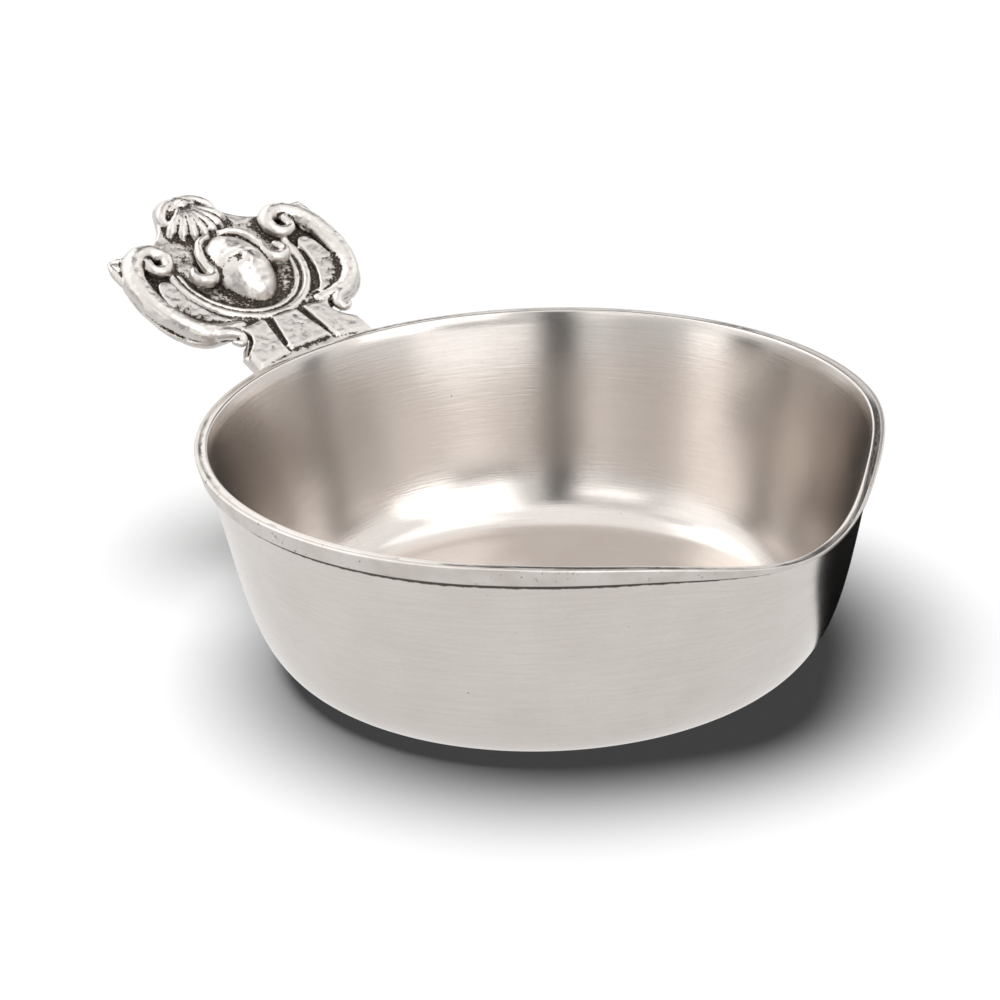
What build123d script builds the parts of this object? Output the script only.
"""Pewter porringer: a shallow bowl with a dipped pouring lip and one cast ear for a handle.

The origin is the centre of the flat base, +Z is up and +X points over the pouring lip, so the
handle stands out along -X. All sizes are in millimetres.
"""

import os
from math import asin, cos, degrees, exp, pi, radians, sin, sqrt, tan

from build123d import *

os.makedirs("parts", exist_ok=True)

# Bowl: a flat base, a rounded corner and a wall that flares to the mouth
bowl_height = 44.4
base_radius = 44.8
mouth_radius = 64.2
wall_flare = 15.5
corner_run = 13.5
corner_rise = 5.0
wall_run = 23.7
wall_thickness = 1.6
floor_thickness = 2.2
ring_points = 28
wall_levels = 8
spare_height = 3.0

# Pouring lip: the rim dips over the last stretch towards +X and the wall is drawn out under it
dip_start = 36.0
dip_depth = 5.7
lip_reach = 7.4
lip_angle = 24.2
lip_flank = 0.73

# Rim band: the strip soldered round the outside of the mouth
band_thickness = 1.0
band_height = 3.6
band_height_at_lip = 1.6
band_fade = 0.65

# Handle: one casting, tilted up from the rim
handle_tilt = 27.6
handle_rise = 0.9
handle_reach = 48.2
plate_thickness = 2.6
plate_bite = 3.5
root_half_width = 15.2
root_depth = 3.0
neck_half_width = 11.8
notch_radius = 1.8
notch_distance = 6.4

# Scrolls that edge the handle, each ending in an inward volute
scroll_half_width = 27.3
scroll_bead = 2.5
scroll_rise = 0.8
scroll_depth = 1.2
scroll_foot = 12.0
scroll_bottom = 7.7
scroll_top = 36.7
scroll_shoulder = 9.0
volute_centre = 16.6
volute_radius = 3.2
volute_bead = 1.7
volute_turn = 300.0
bead_sides = 8
leaf_half_width = 25.2
leaf_height = 35.4
leaf_length = 5.8
leaf_depth = 0.6
leaf_thickness = 1.0

# Raised work on the face of the handle
panel_relief = 1.0
panel_bottom = 12.0
panel_top = 27.0
panel_inner = 10.0
panel_outer = 21.0
panel_draft = 12.0
frame_bead = 1.2
frame_radius = 15.3
frame_centre = 25.3
frame_turn = 190.0
head_half_width = 7.0
head_bottom = 13.4
head_top = 33.4
head_relief = 4.0
nose_half_width = 1.5
nose_bottom = 20.4
nose_top = 25.0
nose_relief = 0.9
lock_bead = 1.3
lock_top = 31.0
lock_curl = 10.8
lock_drop = 22.8
lock_turn = 200.0
shell_hinge = 44.6
shell_length = 9.6
shell_half_angle = 48.0
shell_ribs = 7
shell_relief = 1.6
shell_draft = 24.0
hood_half_width = 6.2
hood_relief = 1.8
hood_depth = 4.2
hood_draft = 24.0
shoulder_half_width = 12.4
shoulder_height = 37.6
tongue_foot = 5.2
tongue_head = 3.6
tongue_length = 9.2
tongue_relief = 0.7

# Solder bead under the handle's root
solder_half_width = 13.2
solder_leg = 3.0
solder_seat = 1.0


# Wall curve
# One curve gives the outside of the wall: level at the base, then leaning out at the flare angle.
def wall_curve():
    rise = radians(corner_rise)
    flare = radians(wall_flare)
    return Bezier(
        (base_radius, 0),
        (base_radius + corner_run * cos(rise), corner_run * sin(rise)),
        (mouth_radius - wall_run * sin(flare), bowl_height - wall_run * cos(flare)),
        (mouth_radius, bowl_height),
    )


def lip_push(angle, height):
    """How far the wall is drawn out at an angle from the lip, growing towards the rim."""
    spread = (angle / radians(lip_angle)) ** 2
    share = (1 - lip_flank * spread) * exp(-spread)
    return lip_reach * share * (height / bowl_height) ** 3


def lip_nearness(angle):
    return exp(-((angle / radians(lip_angle)) ** 2))


def ring(radius, height, growth):
    """Points of one level outline of the bowl, starting at the handle and going once round."""
    points = []
    for step in range(ring_points):
        angle = -pi + 2 * pi * step / ring_points
        reach = radius + lip_push(angle, height) + growth(angle)
        points.append((reach * cos(angle), reach * sin(angle)))
    return points


def level_faces(levels, growth=lambda angle: 0):
    """The outline of the bowl at each of the levels, as faces to loft through."""
    faces = []
    for height, radius in levels:
        with BuildSketch(Plane.XY.offset(height)) as outline:
            with BuildLine():
                Spline(*ring(radius, height, growth), periodic=True)
            make_face()
        faces.append(outline.sketch)
    return faces


# Levels of the wall: height, outside radius and the inside point at right angles to the wall
with BuildLine() as wall_line:
    wall_curve()

outer_levels = []
inner_levels = []
for level in range(wall_levels + 1):
    share = level / wall_levels
    point = wall_line.line @ share
    along = wall_line.line % share
    thickness = floor_thickness + (wall_thickness - floor_thickness) * share
    outer_levels.append((point.Y, point.X))
    inner_levels.append((point.Y + thickness * along.X, point.X - thickness * along.Y))

rim_lean = tan(radians(wall_flare))
spare_step = spare_height * rim_lean
outer_levels.append((bowl_height + spare_height, mouth_radius + spare_step))
inner_levels.append((bowl_height + 2 * spare_height, inner_levels[-1][1] + 2 * spare_step))

# Line of the rim seen from the side: level, then an arc that dips to the nose of the lip
lip_nose = mouth_radius + lip_reach / 2
far = mouth_radius + handle_reach + 2 * spare_height


def dip_line(start_height, depth):
    """A level run from the handle side, then a tangent arc that has sunk by depth at the nose."""
    run = lip_nose - dip_start
    radius = (run**2 + depth**2) / (2 * depth)
    full_run = run + lip_reach
    full_depth = radius - sqrt(radius**2 - full_run**2)
    level = Line((-far, start_height), (dip_start, start_height))
    end = (dip_start + full_run, start_height - full_depth)
    TangentArc(level @ 1, end, tangent=(1, 0))
    return level @ 0, end


# Bowl
# Spun or cast in one piece. The blank is its outside, and also shapes what is soldered to it.
with BuildPart() as bowl_blank:
    loft(level_faces(outer_levels))

with BuildPart() as bowl:
    add(bowl_blank.part)
    loft(level_faces(inner_levels), mode=Mode.SUBTRACT)
    with BuildSketch(Plane.XZ):
        with BuildLine():
            near_end, lip_end = dip_line(bowl_height, dip_depth)
            top = bowl_height + 3 * spare_height
            Polyline(lip_end, (lip_end[0], top), (near_end.X, top), near_end)
        make_face()
    extrude(amount=2 * mouth_radius, both=True, mode=Mode.SUBTRACT)

bowl.part.label = "bowl"
export_step(bowl.part, "parts/bowl.step")


# Rim band
# A strip bent round the mouth and soldered. It dips with the rim and is dressed thin at the lip.
def band_growth(angle):
    return band_thickness * (1 - band_fade * lip_nearness(angle))


with BuildPart() as band_blank:
    loft(level_faces(outer_levels, band_growth))

with BuildPart() as rim_band:
    add(band_blank.part)
    add(bowl_blank.part, mode=Mode.SUBTRACT)
    with BuildSketch(Plane.XZ):
        with BuildLine():
            upper_start, upper_end = dip_line(bowl_height, dip_depth)
            lower_depth = dip_depth + band_height_at_lip - band_height
            lower_start, lower_end = dip_line(bowl_height - band_height, lower_depth)
            Line(upper_start, lower_start)
            Line(upper_end, lower_end)
        make_face()
    extrude(amount=2 * mouth_radius, both=True, mode=Mode.INTERSECT)

rim_band.part.label = "rim_band"
export_step(rim_band.part, "parts/rim_band.step")


# Handle
# The face of the casting is a plane that leans up from the rim: x across, y outwards, z off the face.
# It is alike on both sides of its middle.
rim_reach = mouth_radius + band_thickness
lean = radians(handle_tilt)
face = Plane(
    origin=(-rim_reach, 0, bowl_height + handle_rise),
    x_dir=(0, 1, 0),
    z_dir=(sin(lean), 0, cos(lean)),
)
middle = Plane(origin=face.origin, x_dir=face.y_dir, z_dir=face.x_dir)


def on_face(across, outwards, above=0.0):
    return face.from_local_coords(Vector(across, outwards, above))


scroll_side = scroll_half_width - scroll_bead
scroll_low = scroll_bottom + scroll_bead
scroll_high = scroll_top - scroll_bead
scroll_sweep = scroll_side - scroll_foot - scroll_bead


def scroll_line():
    """The right-hand scroll's centre line, from the neck round the side to the top of the volute."""
    foot = Line((scroll_foot, scroll_low), (scroll_side - scroll_sweep, scroll_low))
    sweep_up = JernArc(foot @ 1, (1, 0), scroll_sweep, 90)
    side = Line(sweep_up @ 1, (scroll_side, scroll_high - scroll_shoulder))
    shoulder = JernArc(side @ 1, (0, 1), scroll_shoulder, 90)
    return shoulder @ 1


with BuildPart() as handle_plate:
    with BuildSketch(face):
        with BuildLine():
            notch_low = (neck_half_width + notch_radius, notch_distance - notch_radius)
            notch_high = (neck_half_width + notch_radius, notch_distance + notch_radius)
            Polyline(
                (0, -plate_bite),
                (root_half_width, -plate_bite),
                (root_half_width, root_depth),
                notch_low,
            )
            ThreePointArc(notch_low, (neck_half_width, notch_distance), notch_high)
            Line(notch_high, (scroll_foot, scroll_low))
            scroll_end = scroll_line()
            shoulder = (shoulder_half_width, shoulder_height)
            Line(scroll_end, shoulder)
            hood_side = (hood_half_width, handle_reach - hood_half_width)
            TangentArc(hood_side, shoulder, tangent=(0, -1))
            JernArc(hood_side, (0, 1), hood_half_width, 90)
            mirror(about=Plane.YZ)
        make_face()
    extrude(amount=-plate_thickness)
    with BuildSketch(face.offset(-scroll_depth)):
        with BuildLine():
            scroll_line()
            mirror(about=Plane.YZ)
        trace(line_width=2 * scroll_bead)
    extrude(amount=scroll_depth + scroll_rise)


def bead(path, radius):
    """A bead of many flats laid along a path on the face of the handle."""
    across = Plane(origin=path.line @ 0, x_dir=face.z_dir, z_dir=path.line % 0)
    with BuildSketch(across) as section:
        RegularPolygon(radius, bead_sides, rotation=180 / bead_sides)
    return sweep(section.sketch, path=path.line, mode=Mode.PRIVATE)


# The right-hand half of the relief, mirrored later
with BuildPart() as scroll:
    with BuildLine(face.offset(scroll_rise)) as scroll_path:
        scroll_line()
    add(bead(scroll_path, scroll_bead))

with BuildPart() as volute:
    with BuildLine(face.offset(scroll_rise)) as volute_path:
        tail = Line((scroll_side - scroll_shoulder, scroll_high), (volute_centre, scroll_high))
        JernArc(tail @ 1, (-1, 0), volute_radius, volute_turn)
    add(bead(volute_path, volute_bead))

with BuildPart() as leaf:
    with BuildSketch(face):
        Polygon(
            (leaf_half_width - leaf_length, leaf_height),
            (leaf_half_width, leaf_height),
            (leaf_half_width - leaf_depth, leaf_height - leaf_length),
            align=None,
        )
    extrude(amount=-leaf_thickness)

with BuildPart() as side_panel:
    with BuildSketch(face):
        Polygon(
            (panel_inner, panel_bottom),
            (panel_outer, panel_bottom),
            (panel_outer, panel_top),
            (panel_inner, panel_top),
            align=None,
        )
        with Locations((0, frame_centre)):
            Circle(frame_radius + frame_bead, mode=Mode.SUBTRACT)
    extrude(amount=panel_relief, taper=panel_draft)

with BuildPart() as lock:
    with BuildLine(face.offset(lock_bead / 2)) as lock_path:
        fall = Line((head_half_width - lock_bead, lock_top), (head_half_width, lock_drop + lock_bead))
        JernArc(fall @ 1, fall % 1, (lock_curl - head_half_width) / 2, lock_turn)
    add(bead(lock_path, lock_bead))

# The bead that frames the head, open at the top
with BuildPart() as frame_arc:
    with BuildLine(face) as frame_path:
        frame_start = -90 - frame_turn / 2
        CenterArc((0, frame_centre), frame_radius, frame_start, frame_turn)
    add(bead(frame_path, frame_bead))

# The head, an egg let into the plate
with BuildPart() as head:
    head_height = head_top - head_bottom
    head_sink = (head_half_width**2 - head_relief**2) / (2 * head_relief)
    head_round = head_relief + head_sink
    head_foot = on_face(0, head_bottom, -head_sink)
    with BuildSketch(Plane(origin=head_foot, x_dir=face.z_dir, z_dir=-face.x_dir)):
        with BuildLine():
            Line((0, 0), (0, head_height))
            ThreePointArc((0, 0), (head_round, head_height / 2), (0, head_height))
        make_face()
    revolve(axis=Axis(head_foot, face.y_dir))
    split(bisect_by=face.offset(-plate_thickness / 2), keep=Keep.TOP)

# The nose, a tapered ridge down the middle of the egg
with BuildPart() as nose:
    with BuildSketch(face):
        Polygon(
            (-nose_half_width, nose_bottom),
            (nose_half_width, nose_bottom),
            (0, nose_top),
            align=None,
        )
    extrude(amount=head_relief + nose_relief)

# The shell, ribs that fan from a hinge under the hood down to the crown of the head
with BuildPart() as shell:
    rib_step = 2 * shell_half_angle / (shell_ribs - 1)
    rib_end = shell_length * tan(radians(rib_step / 2))
    for rib in range(shell_ribs):
        turn = rib * rib_step - shell_half_angle
        rib_seat = Plane(origin=on_face(0, shell_hinge), x_dir=face.x_dir, z_dir=face.z_dir)
        with BuildSketch(rib_seat.rotated((0, 0, turn))):
            Polygon((0, 0), (-rib_end, -shell_length), (rib_end, -shell_length), align=None)
        extrude(amount=shell_relief, taper=shell_draft)

# The hood over the shell's hinge, and the tongue on the neck
with BuildPart() as hood:
    with BuildSketch(face):
        with BuildLine():
            hood_foot = handle_reach - hood_depth
            hood_half = sqrt(hood_half_width**2 - (hood_half_width - hood_depth) ** 2)
            ThreePointArc((-hood_half, hood_foot), (0, handle_reach), (hood_half, hood_foot))
            Line((-hood_half, hood_foot), (hood_half, hood_foot))
        make_face()
    extrude(amount=hood_relief, taper=hood_draft)

with BuildPart() as tongue:
    with BuildSketch(face):
        Polygon(
            (-tongue_foot, -plate_bite),
            (tongue_foot, -plate_bite),
            (tongue_head, tongue_length),
            (-tongue_head, tongue_length),
            align=None,
        )
    extrude(amount=tongue_relief, taper=panel_draft)

with BuildPart() as handle:
    add(handle_plate.part)
    for half in (scroll, volute, leaf, side_panel, lock):
        add(half.part)
        mirror(half.part, about=middle)
    for central in (frame_arc, head, nose, shell, hood, tongue):
        add(central.part)
    add(band_blank.part, mode=Mode.SUBTRACT)

handle.part.label = "handle"
export_step(handle.part, "parts/handle.step")


# Handle solder
# A bead run along the corner between the rim band and the underside of the handle's root. None of
# it comes up past the handle's face.
with BuildPart() as handle_solder:
    solder_arc = 2 * degrees(asin(solder_half_width / rim_reach))
    solder_top = bowl_height - solder_seat
    solder_bottom = bowl_height - band_height - solder_leg
    with BuildSketch(Plane.XZ.rotated((0, 0, 180 - solder_arc / 2))):
        Polygon(
            (mouth_radius - solder_leg, solder_top),
            (mouth_radius - solder_leg, solder_bottom),
            (rim_reach + solder_leg, solder_top),
            align=None,
        )
    revolve(axis=Axis.Z, revolution_arc=solder_arc)
    with BuildSketch(face):
        Rectangle(2 * rim_reach, 2 * rim_reach)
    extrude(amount=bowl_height, mode=Mode.SUBTRACT)
    for neighbour in (bowl_blank, rim_band, handle):
        add(neighbour.part, mode=Mode.SUBTRACT)

handle_solder.part.label = "handle_solder"
export_step(handle_solder.part, "parts/handle_solder.step")
